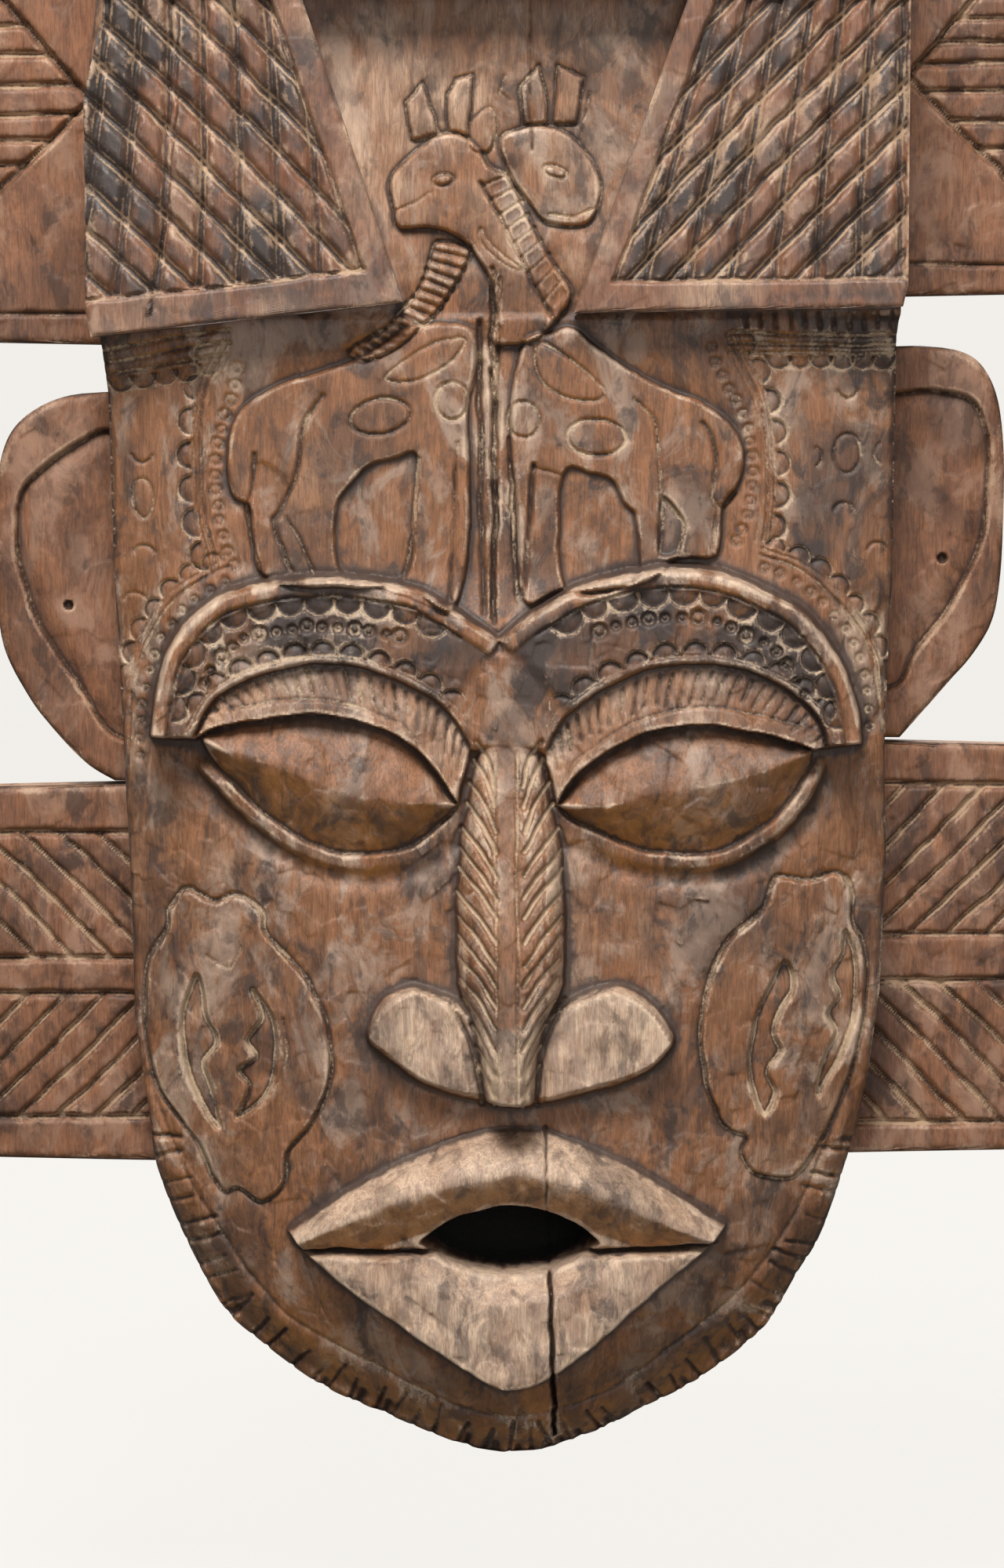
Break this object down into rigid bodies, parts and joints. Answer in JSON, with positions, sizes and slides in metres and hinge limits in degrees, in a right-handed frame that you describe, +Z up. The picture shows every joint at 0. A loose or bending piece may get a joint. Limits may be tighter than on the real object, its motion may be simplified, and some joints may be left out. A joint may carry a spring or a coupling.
{
  "type": "carved wall mask",
  "caption": "Carved wooden wall mask with closed eyes, an open mouth, a lattice crown, giraffes with crossed necks on the forehead, half-heart ears and grooved side wings.",
  "frame": {"origin": "on the flat back, at the middle of the brace across the hollow, level with the inner corners of the eyes", "axes": "+Z up along the face, -Y out of the face towards the viewer, +Y into the wall, +X to the viewer's right"},
  "size_m": [0.444, 0.094, 0.59],
  "materials": {
    "carved_wood": "satin",
    "dark_wood": "satin",
    "board_wood": "satin",
    "raw_wood": "matte",
    "nail_steel": "matte",
    "screw_steel": "satin",
    "hanger_steel": "satin"
  },
  "bodies": {
    "mask": {"face_block": "carved_wood", "left_crown_panel": "dark_wood", "right_crown_panel": "dark_wood", "crown_rail": "carved_wood", "left_upper_wing": "board_wood", "right_upper_wing": "board_wood", "left_ear": "board_wood", "right_ear": "board_wood", "left_lower_wing": "board_wood", "right_lower_wing": "board_wood", "crown_dowels": "raw_wood", "cross_batten": "raw_wood", "batten_screws": "screw_steel", "left_board_nails": "nail_steel", "right_board_nails": "nail_steel", "hanger_plate": "hanger_steel", "hanger_screws": "screw_steel"},
    "ring": {"hanger_ring": "hanger_steel"}
  },
  "joints": [
    {"name": "ring_swing", "type": "hinge", "parent": "mask", "child": "ring", "pos_m": [0, -0.0086, 0.23], "axis": [1, 0, 0], "range_deg": [0, 180]}
  ]
}
